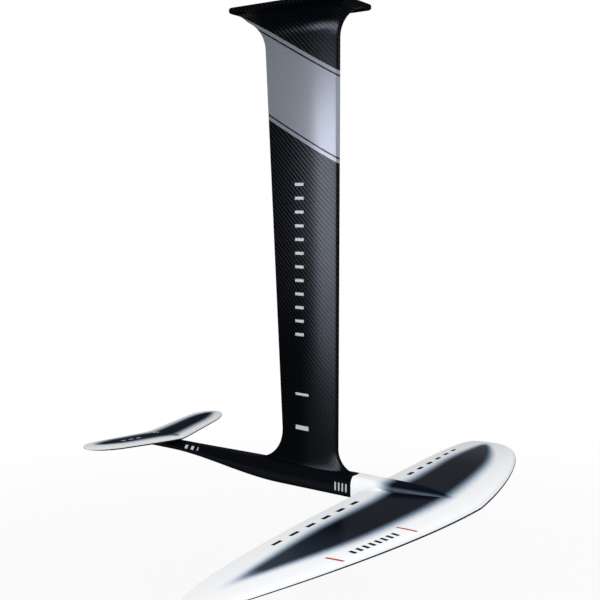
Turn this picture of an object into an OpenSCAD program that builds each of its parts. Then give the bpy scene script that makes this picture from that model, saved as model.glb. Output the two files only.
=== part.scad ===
// Hydrofoil set: base plate, mast, fuselage, front wing and tail wing.
// Millimetres. Origin at the centre of the base plate's top face.
// +X points to the front wing, +Y to port, +Z up to the board.

/* [Base plate] */
// Bolt spacing along the board
bolt_span_x = 165; // [150:1:175]
// Bolt spacing across the board
bolt_span_y = 90; // [84:1:96]
// Rim of the plate beyond the ends of the slots
plate_end = 8.5; // [6:0.5:20]
// Rim of the plate beside the slots
plate_side = 6.75; // [6:0.25:15]
// Thickness of the plate
plate_t = 7.5; // [7:0.5:14]
// Corner radius of the plate
plate_r = 12; // [4:1:20]
// Width of each bolt slot
slot_w = 8.5; // [6.5:0.1:9.5]
// End to end length of each bolt slot
slot_l = 18; // [12:1:22]
// Land for the bolt head around each slot
slot_land = 4; // [2:0.5:5]
// Depth of the bolt head's land in the plate's underside
slot_land_t = 1.5; // [0.5:0.1:3]

/* [Mast] */
// Length from the plate's top face to the fuselage deck
mast_len = 720; // [450:1:1000]
// How far the leading edge stands ahead of the plate's centre
mast_le_x = 74; // [60:1:85]
// Chord under the plate
mast_chord_top = 141; // [130:1:155]
// Chord at the deck
mast_chord_foot = 104; // [96:1:125]
// Thickness under the plate
mast_t_top = 18; // [15:0.5:24]
// Thickness at the deck
mast_t_foot = 14; // [12.5:0.5:18]
// Wall of the carbon skin
mast_skin = 2; // [1.2:0.1:2.6]
// Reach of the leading edge's flare under the plate
head_le_reach = 46; // [20:1:60]
// Height of the leading edge's flare under the plate
head_le_rise = 46; // [20:1:70]
// Reach of the trailing edge's flare under the plate
head_te_reach = 58; // [20:1:64]
// Height of the trailing edge's flare under the plate
head_te_rise = 52; // [20:1:70]
// Reach of the sides' flare under the plate
head_side_reach = 29; // [5:1:30]
// Height of the sides' flare under the plate
head_side_rise = 34; // [10:1:60]
// Reach of the leading edge's flare on the deck
foot_le_reach = 35; // [15:1:40]
// Height of the leading edge's flare on the deck
foot_le_rise = 35; // [15:1:70]
// Reach of the trailing edge's flare on the deck
foot_te_reach = 56; // [20:1:70]
// Height of the trailing edge's flare on the deck
foot_te_rise = 56; // [20:1:80]
// Reach of the sides' flare on the deck
foot_side_reach = 4; // [1:0.5:5]
// Height of the sides' flare on the deck
foot_side_rise = 30; // [10:1:60]
// Width of the solid spar along the chord
spar_w = 44; // [30:1:56]

/* [Mast foot] */
// Length of the tenon in the fuselage
tenon_l = 84; // [76:1:92]
// Thickness of the tenon
tenon_t = 15; // [14:0.5:18]
// Depth of the tenon below the deck
tenon_d = 18; // [15:0.5:20]
// Spacing of the three bolts in the tenon
mast_bolt_pitch = 32; // [24:1:33]

/* [Fuselage] */
// Width at the front
fus_w = 35; // [32:1:44]
// Depth at the front
fus_d = 33.5; // [32:0.5:40]
// Width at the tail
fus_tail_w = 24; // [20:1:32]
// Depth at the tail
fus_tail_d = 15; // [13:0.5:20]
// Width of the rounded shoulder between deck and flank
shoulder_w = 6.5; // [3:0.5:8]
// Depth of the rounded shoulder between deck and flank
shoulder_d = 8.5; // [3:0.5:10]
// Radius of the belly's edges
belly_r = 5; // [2:0.5:7]
// From the mast's leading edge forward to the front wing's seam
nose_reach = 33; // [26:1:60]
// From the mast's trailing edge back to the tail wing's leading edge
tail_reach = 220; // [180:5:360]
// How far behind the tail wing's leading edge the belly stops rising
belly_rise_end = 20; // [0:1:40]
// How far the fuselage stops short of the tail wing's trailing edge
tail_end_in = 6; // [2:1:10]

/* [Tongue and neck] */
// Length of the fuselage's tongue in the neck
tongue_l = 58; // [50:1:64]
// Width of the tongue
tongue_w = 22; // [18:0.5:24]
// Thickness of the tongue
tongue_t = 17; // [14:0.5:18]
// Cover of the neck above the tongue
tongue_cover = 8.5; // [6:0.5:9]
// How far the neck reaches behind the front wing's trailing edge
neck_back = 28; // [22:1:40]
// Length of the neck's level part, from the seam
neck_level = 58; // [52:1:70]
// Length of the ridge that runs out on the wing, from the end of the level part
neck_ridge = 107; // [90:1:112]
// How far the ridge's point stands proud of the wing
neck_proud = 0.3; // [0.1:0.1:1]
// From the seam to the rear bolt in the neck
wing_bolt_in = 16; // [12:1:20]
// Spacing of the two bolts in the neck
wing_bolt_pitch = 26; // [22:1:30]

/* [Front wing] */
// Span from tip to tip
wing_span = 906; // [700:2:1100]
// Chord at the root
wing_chord = 180; // [165:1:220]
// Thickness at the root
wing_t = 12; // [11:0.5:20]
// Camber at the root
wing_camber = 0.4; // [0:0.1:2]
// Depth of the chord plane below the deck
wing_drop = 14; // [12.5:0.5:16]
// Droop of the tips
wing_droop = 30; // [0:1:60]
// Sweep of the leading edge that is even along the span
wing_sweep_even = 30; // [0:1:50]
// Sweep of the leading edge that grows along the span
wing_sweep_mid = 90; // [40:1:110]
// Sweep of the leading edge near the tip
wing_sweep_tip = 40; // [10:1:46]
// Sweep of the trailing edge, back at the tip
wing_te_sweep = 16; // [0:1:30]
// Skin wall
wing_skin = 1.6; // [1:0.1:2]

/* [Tail wing] */
// Span from tip to tip
tail_span = 338; // [280:2:480]
// Chord at the root
tail_chord = 87; // [80:1:110]
// Thickness at the root
tail_t = 8; // [7.5:0.5:12]
// Rise of the tips
tail_rise = 10.5; // [0:0.5:30]
// Sweep of the leading edge at the tip
tail_le_sweep = 32; // [10:1:50]
// Sweep of the trailing edge at the tip
tail_te_sweep = 10; // [0:1:20]
// Skin wall
tail_skin = 1.2; // [0.8:0.1:1.5]
// From the leading edge back to the front screw
tail_screw_in = 18; // [16:1:22]
// Spacing of the two screws
tail_screw_pitch = 48; // [40:1:50]
// Width of the flat saddle that sits on the deck
saddle_w = 20; // [16:1:22]
// How far the saddle stands proud of the lower surface
saddle_lift = 0.5; // [0.3:0.1:2]

/* [Fasteners] */
// Radius of the bolt's shank
bolt_r = 3; // [2.5:0.1:3.5]
// Radius of the bolt's countersunk head
head_r = 5.6; // [5.2:0.1:6]
// Outer radius of the cup washers
washer_r = 7.4; // [7.1:0.1:8]
// Depth of the cup washers
washer_t = 4.2; // [4:0.1:5]
// Outer radius of the threaded inserts
insert_r = 5; // [4.6:0.1:5.4]
// Length of the inserts in mast and tongue
insert_l = 13; // [10:0.5:14]
// Length of the inserts in the tail
tail_insert_l = 10; // [8:0.5:11]
// Flats of the hexagon socket, across
hex_af = 4; // [3:0.5:4.5]
// Depth of the hexagon socket
hex_d = 2.4; // [1.5:0.1:2.6]

/* [Clearances] */
// Glue line between bonded pieces
bond = 0.15; // [0.05:0.05:0.25]
// Clearance of tongue and tenon in their sockets, on each side
socket_gap = 0.2; // [0.1:0.05:0.4]
// Gap at the seam between fuselage and front wing
seam_gap = 0.2; // [0.1:0.05:0.5]
// Radial clearance of a bolt in its insert
thread_gap = 0.05; // [0.02:0.01:0.1]
// Radial clearance of a bolt in a plain hole
hole_gap = 0.4; // [0.3:0.1:0.8]
// Gap under a bolt's head
seat_gap = 0.2; // [0.1:0.05:0.3]
// Radial gap around washers and inserts
press_gap = 0.02; // [0.01:0.01:0.05]

/* [Hidden] */
$fn = 64;
// Overlap of joined shapes, and how far a cut runs past the face it opens
eps = 0.01;
over = 1;

// Colours
carbon = [0.10, 0.10, 0.12];
gloss_black = [0.06, 0.06, 0.07];
white = [0.93, 0.94, 0.95];
foam = [0.85, 0.80, 0.62];
steel = [0.62, 0.63, 0.65];
brass = [0.72, 0.58, 0.30];

// Outer size of the plate
plate_l = bolt_span_x + slot_l + 2 * plate_end;
plate_w = bolt_span_y + slot_w + 2 * plate_side;

// Levels
deck_z = -mast_len;
belly_z = deck_z - fus_d;
wing_z = deck_z - wing_drop;
tail_z = deck_z + saddle_lift + tail_t / 2;

// Stations along the fuselage
mast_foot_te = mast_le_x - mast_chord_foot;
tenon_x = mast_le_x - mast_chord_foot / 2;
seam_x = mast_le_x + nose_reach;
wing_te = seam_x + neck_back;
wing_le = wing_te + wing_chord;
tail_le = mast_foot_te - tail_reach;
fus_end = tail_le - tail_chord + tail_end_in;
mast_bolt_x = [for (i = [1, 0, -1]) tenon_x + i * mast_bolt_pitch];
wing_bolt_x = [for (i = [1, 0]) seam_x + wing_bolt_in + i * wing_bolt_pitch];
tail_screw_x = [for (i = [0, 1]) tail_le - tail_screw_in - i * tail_screw_pitch];

// Levels of the tenon and of the tongue
tenon_floor = deck_z - tenon_d;
tongue_top = deck_z - tongue_cover;
tongue_floor = tongue_top - tongue_t;

// Smooth step from 0 to 1
function clamp01(t) = min(1, max(0, t));
function smooth(t) = let (u = clamp01(t)) u * u * (3 - 2 * u);

// Half thickness of a foil of thickness 1, s runs from the leading edge to the trailing edge
function foil(s) = 5 * (0.2969 * sqrt(s) - 0.1260 * s - 0.3516 * s * s
                        + 0.2843 * pow(s, 3) - 0.1036 * pow(s, 4));
function spaced(n) = [for (i = [0 : n]) (1 - cos(180 * i / n)) / 2];
function even(a, b, n) = [for (i = [0 : n]) a + (b - a) * i / n];

// Triangles that close a section. Its points run along one side from 0 to fold, and back along the other.
function zip(p, u, l, i = 0, j = 0) =
    i == len(u) - 1 && j == len(l) - 1 ? [] :
    j == len(l) - 1 || (i < len(u) - 1 && p[u[i + 1]][0] >= p[l[j + 1]][0]) ?
        concat([[u[i], u[i + 1], l[j]]], zip(p, u, l, i + 1, j)) :
        concat([[u[i], l[j + 1], l[j]]], zip(p, u, l, i, j + 1));
function cap(p, fold) = let (n = len(p)) fold == 0 ? [[for (i = [0 : n - 1]) i]] :
    [for (t = zip(p, [for (i = [0 : fold]) i], concat([0], [for (i = [n - 1 : -1 : fold]) i])))
        if (t[0] != t[1] && t[1] != t[2] && t[0] != t[2]) t];

// Shell through a list of sections with equal numbers of points
function loft_faces(sections, fold) = let (
    last = len(sections) - 1,
    np = len(sections[0])
) concat(
    [for (f = cap(sections[0], fold)) reversed(f)],
    [for (f = cap(sections[last], fold)) [for (i = f) last * np + i]],
    [for (k = [0 : last - 1], i = [0 : np - 1])
        [k * np + i, k * np + (i + 1) % np, (k + 1) * np + (i + 1) % np]],
    [for (k = [0 : last - 1], i = [0 : np - 1])
        [k * np + i, (k + 1) * np + (i + 1) % np, (k + 1) * np + i]]);

// Area of a section as a vector, which tells which way round its points run
function area_vector(p) = [for (sum = [0, 0, 0], i = 0; i <= len(p);
    sum = sum + (i < len(p) ? cross(p[i], p[(i + 1) % len(p)]) : [0, 0, 0]), i = i + 1) sum][len(p)];
function reversed(list) = [for (i = [len(list) - 1 : -1 : 0]) list[i]];

module loft(sections, fold = 0) {
    last = len(sections) - 1;
    faces = loft_faces(sections, fold);
    forward = area_vector(sections[0]) * (sections[last][0] - sections[0][0]) < 0;
    polyhedron(
        [for (sec = sections) each sec],
        forward ? faces : [for (f = faces) reversed(f)],
        convexity = 10);
}

// Outline with rounded corners, widths in the second axis, heights in the third
corner_steps = 5;
corner_w_most = 0.8;
corner_h_most = 0.45;
// 1 makes the shoulder a quarter round, 2 a flat chamfer
shoulder_power = 1.7;
function bent(v, power) = sign(v) * pow(abs(v), power);
function corner(cy, cz, ry, rz, a0, power = 1) =
    [for (i = [0 : corner_steps]) let (a = a0 + 90 * i / corner_steps)
        [cy + ry * bent(cos(a), power), cz + rz * bent(sin(a), power)]];
function barrel(half, top, bottom, r_top, r_bottom) = let (
    ty = min(r_top[0], corner_w_most * half),
    tz = min(r_top[1], corner_h_most * (top - bottom)),
    b = min(r_bottom, corner_w_most * half, corner_h_most * (top - bottom))
) concat(
    corner(half - ty, top - tz, ty, tz, 0, shoulder_power),
    corner(-half + ty, top - tz, ty, tz, 90, shoulder_power),
    corner(-half + b, bottom + b, b, b, 180),
    corner(half - b, bottom + b, b, b, 270));
function at_x(x, outline) = [for (p = outline) [x, p[0], p[1]]];

// Rounded plate outline
function plate_outline(l, w, r) = [
    for (c = [[1, 1, 0], [-1, 1, 90], [-1, -1, 180], [1, -1, 270]])
        for (i = [0 : 2 * corner_steps])
            let (a = c[2] + 45 * i / corner_steps)
                [c[0] * (l / 2 - r) + r * cos(a), c[1] * (w / 2 - r) + r * sin(a)]
];

// Fasteners, drawn along +Z with the head's face at z = 0 and the shank below
cone_h = head_r - bolt_r;
module bolt(length) {
    difference() {
        union() {
            translate([0, 0, -cone_h])
                cylinder(h = cone_h, r1 = bolt_r, r2 = head_r);
            translate([0, 0, -length])
                cylinder(h = length - cone_h + eps, r = bolt_r);
        }
        translate([0, 0, -hex_d])
            cylinder(h = hex_d + over, r = hex_af / sqrt(3), $fn = 6);
    }
}

module cup_washer() {
    difference() {
        translate([0, 0, -washer_t])
            cylinder(h = washer_t, r = washer_r);
        translate([0, 0, -cone_h - seat_gap])
            cylinder(h = cone_h, r1 = bolt_r + hole_gap, r2 = head_r + hole_gap);
        translate([0, 0, -seat_gap - eps])
            cylinder(h = seat_gap + over, r = head_r + hole_gap);
        translate([0, 0, -washer_t - over])
            cylinder(h = washer_t + 2 * over, r = bolt_r + hole_gap);
    }
}

module threaded_insert(length) {
    difference() {
        cylinder(h = length, r = insert_r);
        translate([0, 0, -over])
            cylinder(h = length + 2 * over, r = bolt_r + thread_gap);
    }
}

// Holes that take the fasteners
module washer_hole(above = over) {
    translate([0, 0, -washer_t])
        cylinder(h = washer_t + above, r = washer_r + press_gap);
}

module insert_hole(length) {
    cylinder(h = length, r = insert_r + press_gap);
}

module plain_hole(length) {
    cylinder(h = length, r = bolt_r + hole_gap);
}

// Bolts stop short of the end of their inserts
thread_short = 1;
mast_bolt_len = tenon_floor + insert_l - belly_z - seat_gap - thread_short;
wing_bolt_len = tongue_floor + insert_l - belly_z - seat_gap - thread_short;

module from_below(x, z) {
    translate([x, 0, z])
        mirror([0, 0, 1])
            children();
}

module from_above(x, z) {
    translate([x, 0, z])
        children();
}

// Base plate
plate_socket_d = plate_t / 2;
module base_plate() {
    color(carbon)
        difference() {
            translate([0, 0, -plate_t])
                linear_extrude(plate_t)
                    polygon(plate_outline(plate_l, plate_w, plate_r));
            for (sx = [-1, 1], sy = [-1, 1])
                translate([sx * bolt_span_x / 2, sy * bolt_span_y / 2, 0]) {
                    translate([0, 0, -plate_t - over])
                        slot_cut(slot_l, slot_w, plate_t + 2 * over);
                    translate([0, 0, -plate_t - over])
                        slot_cut(slot_l + 2 * slot_land, slot_w + 2 * slot_land, slot_land_t + over);
                }
            spar_socket();
        }
}

module slot_cut(l, w, h) {
    for (s = [-1, 1])
        translate([s * (l - w) / 2, 0, 0])
            cylinder(h = h, r = w / 2);
    translate([-(l - w) / 2, -w / 2, 0])
        cube([l - w, w, h]);
}

module spar_socket() {
    translate([spar_back - bond, -spar_head_t / 2 - bond, -plate_t - over])
        cube([spar_w + 2 * bond, spar_head_t + 2 * bond, plate_socket_d + over]);
}

// Mast: sections at heights above the deck
mast_rise = mast_len - plate_t;
function mast_share(h) = h / mast_rise;
function mast_chord(h) = mast_chord_foot + (mast_chord_top - mast_chord_foot) * mast_share(h);
function mast_t(h) = mast_t_foot + (mast_t_top - mast_t_foot) * mast_share(h);
function flare(h, reach, rise) = h >= rise ? 0 : reach * (1 - sqrt(1 - pow((rise - h) / rise, 2)));
function flare_le(h) =
    flare(h, foot_le_reach, foot_le_rise) + flare(mast_rise - h, head_le_reach, head_le_rise);
function flare_te(h) =
    flare(h, foot_te_reach, foot_te_rise) + flare(mast_rise - h, head_te_reach, head_te_rise);
function foot_side(h) = flare(h, foot_side_reach, foot_side_rise);
function head_side(h) = flare(mast_rise - h, head_side_reach, head_side_rise);
function mast_front(h) = mast_le_x + flare_le(h);
function mast_back(h) = mast_le_x - mast_chord(h) - flare_te(h);
// Width of the flares along the chord, oval at the foot and squarer at the head
function rounded(s, power) = pow(max(0, 1 - pow(abs(2 * s - 1), power)), 1 / power);
foot_power = 2;
head_power = 3;
mast_te_t = 1.6;
flare_steps = [0, 0.02, 0.08, 0.2, 0.4, 0.65, 1];
mast_heights = concat(
    foot_te_rise * flare_steps,
    [for (i = [len(flare_steps) - 1 : -1 : 0]) mast_rise - head_te_rise * flare_steps[i]]);

// Half thickness of the bare blade at x, and of the cavity inside its skin
function blade_half(h, x) = let (s = clamp01((mast_le_x - x) / mast_chord(h)))
    mast_t(h) * foil(s) + mast_te_t / 2 * s;
cavity_from = 0.08;
cavity_to = 0.80;
function cavity_x(h, u) = mast_le_x - mast_chord(h) * (cavity_from + (cavity_to - cavity_from) * u);
function cavity_half(h, x) = blade_half(h, x) - mast_skin;

// One half of the skin, port side positive
mast_points = 16;
cavity_points = 11;
cavity_crowd = 1.5;
function mast_half_section(h) = let (
    front = mast_front(h),
    back = mast_back(h),
    outer = [for (s = spaced(mast_points))
        let (half = mast_t(h) * foil(s) + mast_te_t / 2 * s
            + foot_side(h) * rounded(s, foot_power) + head_side(h) * rounded(s, head_power))
            [front - (front - back) * s, bond / 2 + half, deck_z + h]],
    inner = [for (u = even(1, 0, cavity_points))
        let (x = cavity_x(h, pow(u, cavity_crowd))) [x, cavity_half(h, x), deck_z + h]]
) concat(
    [[front, bond / 2, deck_z + h]],
    [for (i = [1 : mast_points]) outer[i]],
    [[back, bond / 2, deck_z + h], [cavity_x(h, 1), bond / 2, deck_z + h]],
    inner,
    [[cavity_x(h, 0), bond / 2, deck_z + h]]);

// The head's flare stops short of the plate's ends
flare_rim = plate_l / 2 - 2;
module mast_skin_half() {
    difference() {
        loft([for (h = mast_heights) mast_half_section(h)], mast_points + 1);
        for (turn = [0, 180])
            rotate([0, 0, turn])
                translate([flare_rim, -plate_w, -mast_rise / 2])
                    cube([plate_l, 2 * plate_w, mast_rise]);
    }
}

module mast_skin_port() {
    color(carbon)
        mast_skin_half();
}

module mast_skin_starboard() {
    color(carbon)
        mirror([0, 1, 0])
            mast_skin_half();
}

// Spar between the two cores
spar_head_in = 1;
spar_head_t = 2 * (cavity_half(mast_rise, tenon_x) - bond - spar_head_in);
function fill_section(h, xs) = concat(
    [for (x = xs) [x, cavity_half(h, x) - bond, deck_z + h]],
    [for (i = [len(xs) - 1 : -1 : 0]) [xs[i], -cavity_half(h, xs[i]) + bond, deck_z + h]]);
fill_points = 5;
spar_front = tenon_x + spar_w / 2;
spar_back = tenon_x - spar_w / 2;

module mast_core_front() {
    color(foam)
        loft([for (h = [0, mast_rise])
            fill_section(h, even(cavity_x(h, 0) - bond, spar_front + bond, fill_points))]);
}

module mast_core_rear() {
    color(foam)
        loft([for (h = [0, mast_rise])
            fill_section(h, even(spar_back - bond, cavity_x(h, 1) + bond, fill_points))]);
}

module mast_spar() {
    color(carbon)
        difference() {
            union() {
                loft([for (h = [0, mast_rise]) fill_section(h, even(spar_front, spar_back, fill_points))]);
                translate([spar_back, -spar_head_t / 2, -plate_t - over])
                    cube([spar_w, spar_head_t, plate_socket_d + over - bond]);
                translate([tenon_x - tenon_l / 2, -tenon_t / 2, tenon_floor])
                    cube([tenon_l, tenon_t, tenon_d]);
            }
            for (x = mast_bolt_x)
                translate([x, 0, tenon_floor - over])
                    insert_hole(insert_l + over);
        }
}

module mast_inserts() {
    color(brass)
        for (x = mast_bolt_x)
            translate([x, 0, tenon_floor])
                threaded_insert(insert_l);
}

module mast_bolt(i) {
    color(steel)
        from_below(mast_bolt_x[i], belly_z + seat_gap)
            bolt(mast_bolt_len);
}

module mast_bolt_front() {
    mast_bolt(0);
}

module mast_bolt_middle() {
    mast_bolt(1);
}

module mast_bolt_rear() {
    mast_bolt(2);
}

module mast_washers() {
    color(steel)
        for (x = mast_bolt_x)
            from_below(x, belly_z)
                cup_washer();
}

// Fuselage
belly_end = tail_le - belly_rise_end;
function belly_share(x) = smooth((mast_foot_te - x) / (mast_foot_te - belly_end));
function fus_half(x) = (fus_w + (fus_tail_w - fus_w) * belly_share(x)) / 2;
function fus_bottom(x) = belly_z + (fus_d - fus_tail_d) * belly_share(x);
belly_steps = 9;
fus_stations = concat([seam_x, mast_foot_te], [for (i = [1 : belly_steps])
    mast_foot_te + (belly_end - mast_foot_te) * i / belly_steps], [fus_end]);

module fuselage() {
    color(gloss_black)
        difference() {
            union() {
                loft([for (x = fus_stations)
                    at_x(x, barrel(fus_half(x), deck_z, fus_bottom(x), [shoulder_w, shoulder_d], belly_r))]);
                translate([seam_x - over, -tongue_w / 2, tongue_floor])
                    cube([tongue_l + over, tongue_w, tongue_t]);
            }
            tenon_socket();
            for (x = mast_bolt_x) {
                from_below(x, belly_z)
                    washer_hole();
                translate([x, 0, belly_z])
                    plain_hole(fus_d);
            }
            for (x = wing_bolt_x)
                translate([x, 0, tongue_floor - over])
                    insert_hole(insert_l + over);
            for (x = tail_screw_x)
                translate([x, 0, deck_z - tail_insert_l])
                    insert_hole(tail_insert_l + over);
        }
}

module tenon_socket() {
    l = tenon_l + 2 * socket_gap;
    t = tenon_t + 2 * socket_gap;
    translate([tenon_x - l / 2, -t / 2, tenon_floor - socket_gap])
        cube([l, t, tenon_d + socket_gap + over]);
}

module tongue_inserts() {
    color(brass)
        for (x = wing_bolt_x)
            translate([x, 0, tongue_floor])
                threaded_insert(insert_l);
}

module tail_inserts() {
    color(brass)
        for (x = tail_screw_x)
            translate([x, 0, deck_z - tail_insert_l])
                threaded_insert(tail_insert_l);
}

// Front wing: sections at stations across the span
half_span = wing_span / 2;
tip_from = 0.85;
tip_round = wing_chord - wing_sweep_even - wing_sweep_mid - wing_sweep_tip + wing_te_sweep;
tip_round_le = 0.2;
function tip_arc(e) = 1 - sqrt(1 - pow(clamp01((e - tip_from) / (1 - tip_from)), 2));
function wing_front(e) = wing_le - wing_sweep_even * e - wing_sweep_mid * pow(e, 2)
    - wing_sweep_tip * pow(e, 5) - tip_round * tip_round_le * tip_arc(e);
function wing_back(e) = wing_te - wing_te_sweep * pow(e, 3) + tip_round * (1 - tip_round_le) * tip_arc(e);
function wing_level(e) = wing_z - wing_droop * pow(e, 4);
wing_te_t = 1.2;
wing_points = 13;
hollow_points = 6;
hollow_from = 0.10;
hollow_to = 0.72;
hollow_wall = 0.02;

// Height of the upper or lower surface over the chord plane, side is 1 or -1
function lift(s, share, t, camber, te_t, side) =
    share * (t * foil(s) + side * camber * 4 * s * (1 - s)) + te_t / 2 * s;

// Section of one skin: outer surface, trailing edge, then the hollow on the chord plane
function skin_section(y, front, back, level, share, t, camber, te_t, wall, depth, side) = let (
    c = front - back,
    outer = [for (s = spaced(wing_points))
        [front - c * s, y, level + side * (bond / 2 + lift(s, share, t, camber, te_t, side))]],
    inner = [for (s = even(hollow_to - hollow_wall, hollow_from + hollow_wall, hollow_points))
        let (deep = depth * max(0, lift(s, share, t, camber, te_t, side) - wall))
            [front - c * s, y, level + side * (bond / 2 + deep)]],
    land = level + side * bond / 2
) concat(
    [[front, y, land]],
    [for (i = [1 : wing_points]) outer[i]],
    [[back, y, land], [front - c * hollow_to, y, land]],
    inner,
    [[front - c * hollow_from, y, land]]);

// Section of a core that fills the hollows of both skins
function core_section(y, front, back, level, share, t, camber, te_t, wall) = let (
    c = front - back,
    in = bond / c,
    ss = even(hollow_from + hollow_wall + in, hollow_to - hollow_wall - in, hollow_points),
    up = [for (s = ss) max(bond, lift(s, share, t, camber, te_t, 1) - wall) - bond / 2],
    down = [for (s = ss) max(bond, lift(s, share, t, camber, te_t, -1) - wall) - bond / 2]
) concat(
    [for (i = [0 : hollow_points]) [front - c * ss[i], y, level + up[i]]],
    [for (i = [hollow_points : -1 : 0]) [front - c * ss[i], y, level - down[i]]]);

function mirrored(ys) = concat([for (i = [len(ys) - 1 : -1 : 1]) -ys[i]], ys);

// Stations from the middle to one tip, with the hollow in between
tip_last = 0.998;
tip_steps = 5;
function stations(half, hollow_in, core_ys, hollow_out) = mirrored(concat(
    [0, hollow_in], core_ys, [hollow_out],
    [for (i = [1 : tip_steps]) hollow_out + (tip_last * half - hollow_out) * sin(90 * i / tip_steps)]));
function hollow_depth(y, ys) = abs(y) > ys[0] - eps && abs(y) < ys[len(ys) - 1] + eps ? 1 : 0;
hollow_ramp = 8;
hollow_reach = 0.76;
wing_root_in = 6;
wing_core_steps = 6;
wing_hollow_in = fus_w / 2 + wing_root_in;
wing_hollow_out = hollow_reach * half_span;
wing_core_ys = even(wing_hollow_in + hollow_ramp, wing_hollow_out - hollow_ramp, wing_core_steps);
wing_ys = stations(half_span, wing_hollow_in, wing_core_ys, wing_hollow_out);

function wing_share(e) = (wing_front(e) - wing_back(e)) / wing_chord;
function wing_skin_section(y, side) = let (e = abs(y) / half_span)
    skin_section(y, wing_front(e), wing_back(e), wing_level(e), wing_share(e), wing_t, wing_camber, wing_te_t,
        wing_skin, hollow_depth(y, wing_core_ys), side);

// The neck runs through both skins
neck_end = seam_x + neck_level + neck_ridge;
function neck_share(x) = clamp01((x - seam_x - neck_level) / neck_ridge);
neck_point = 0.6;
neck_keel = 2;
function neck_half(x) = max(neck_point, fus_w / 2 * (1 - pow(neck_share(x), 2)));
// The ridge falls to the wing's upper face at its point
function wing_crown(x) = let (s = clamp01((wing_le - x) / wing_chord))
    wing_z + bond / 2 + lift(s, 1, wing_t, wing_camber, wing_te_t, 1);
neck_fall = deck_z - wing_crown(neck_end) - neck_proud;
neck_fall_power = 5.25;
function neck_top(x) = deck_z - neck_fall * pow(neck_share(x), neck_fall_power);
function neck_bottom(x) = belly_z + (wing_z - neck_keel - belly_z) * smooth(neck_share(x));
neck_steps = 14;
neck_stations = concat([seam_x + seam_gap], even(seam_x + neck_level, neck_end, neck_steps));

module neck_body(grow) {
    corners = [shoulder_w, shoulder_d];
    loft([for (x = neck_stations) at_x(x == neck_stations[0] ? x - grow : x,
        barrel(neck_half(x) + grow, neck_top(x) + grow, neck_bottom(x) - grow, corners, belly_r))]);
}

module front_wing_neck() {
    color(white)
        difference() {
            neck_body(0);
            translate([seam_x - over, -tongue_w / 2 - socket_gap, tongue_floor - socket_gap])
                cube([tongue_l + over + socket_gap, tongue_w + 2 * socket_gap, tongue_t + 2 * socket_gap]);
            for (x = wing_bolt_x) {
                from_below(x, belly_z)
                    washer_hole();
                translate([x, 0, belly_z])
                    plain_hole(tongue_floor - belly_z);
            }
        }
}

module front_wing_upper_skin() {
    color(white)
        difference() {
            loft([for (y = wing_ys) wing_skin_section(y, 1)], wing_points + 1);
            neck_body(bond);
        }
}

module front_wing_lower_skin() {
    color(carbon)
        difference() {
            loft([for (y = wing_ys) wing_skin_section(y, -1)], wing_points + 1);
            neck_body(bond);
        }
}

module front_wing_core(sign) {
    color(foam)
        loft([for (y = wing_core_ys) let (e = y / half_span)
            core_section(sign * y, wing_front(e), wing_back(e), wing_level(e), wing_share(e),
                wing_t, wing_camber, wing_te_t, wing_skin)]);
}

module front_wing_core_port() {
    front_wing_core(1);
}

module front_wing_core_starboard() {
    front_wing_core(-1);
}

module front_wing_bolt(i) {
    color(steel)
        from_below(wing_bolt_x[i], belly_z + seat_gap)
            bolt(wing_bolt_len);
}

module front_wing_bolt_front() {
    front_wing_bolt(0);
}

module front_wing_bolt_rear() {
    front_wing_bolt(1);
}

module front_wing_washers() {
    color(steel)
        for (x = wing_bolt_x)
            from_below(x, belly_z)
                cup_washer();
}

// Tail wing
tail_half = tail_span / 2;
tail_tip_from = 0.7;
tail_tip_le = 0.42;
tail_tip = tail_chord - tail_le_sweep + tail_te_sweep;
function tail_tip_arc(e) = 1 - sqrt(1 - pow(clamp01((e - tail_tip_from) / (1 - tail_tip_from)), 2));
function tail_front(e) = tail_le - tail_le_sweep * e - tail_tip * tail_tip_le * tail_tip_arc(e);
function tail_back(e) = tail_le - tail_chord - tail_te_sweep * e
    + tail_tip * (1 - tail_tip_le) * tail_tip_arc(e);
tail_kink = 0.12;
function tail_level(e) = tail_z + tail_rise * (sqrt(e * e + tail_kink * tail_kink) - tail_kink);
function tail_share(e) = (tail_front(e) - tail_back(e)) / tail_chord;
tail_te_t = 1;
tail_root_in = 4;
tail_core_steps = 4;
tail_hollow_in = saddle_w / 2 + tail_root_in;
tail_hollow_out = hollow_reach * tail_half;
tail_core_ys = even(tail_hollow_in + hollow_ramp, tail_hollow_out - hollow_ramp, tail_core_steps);
tail_ys = stations(tail_half, tail_hollow_in, tail_core_ys, tail_hollow_out);
function tail_skin_section(y, side) = let (e = abs(y) / tail_half)
    skin_section(y, tail_front(e), tail_back(e), tail_level(e), tail_share(e), tail_t, 0, tail_te_t,
        tail_skin, hollow_depth(y, tail_core_ys), side);

module tail_wing_upper_skin() {
    color(white)
        difference() {
            loft([for (y = tail_ys) tail_skin_section(y, 1)], wing_points + 1);
            tail_holes();
        }
}

module tail_wing_lower_skin() {
    color(carbon)
        difference() {
            union() {
                loft([for (y = tail_ys) tail_skin_section(y, -1)], wing_points + 1);
                tail_saddle();
            }
            tail_holes();
        }
}

saddle_le_in = 10;
saddle_te_in = 9;
module tail_saddle() {
    translate([tail_le - tail_chord + saddle_te_in, -saddle_w / 2, deck_z])
        cube([tail_chord - saddle_te_in - saddle_le_in, saddle_w, tail_z - deck_z - bond / 2]);
}

// Level of a screw's washer, sunk a little below the upper surface
washer_sink = 0.4;
function tail_top(x) = let (s = (tail_le - x) / tail_chord)
    tail_z + lift(s, 1, tail_t, 0, tail_te_t, 1) - washer_sink;

module tail_holes() {
    for (x = tail_screw_x) {
        from_above(x, tail_top(x))
            washer_hole(tail_t);
        translate([x, 0, deck_z - over])
            plain_hole(tail_t + 2 * over);
    }
}

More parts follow.
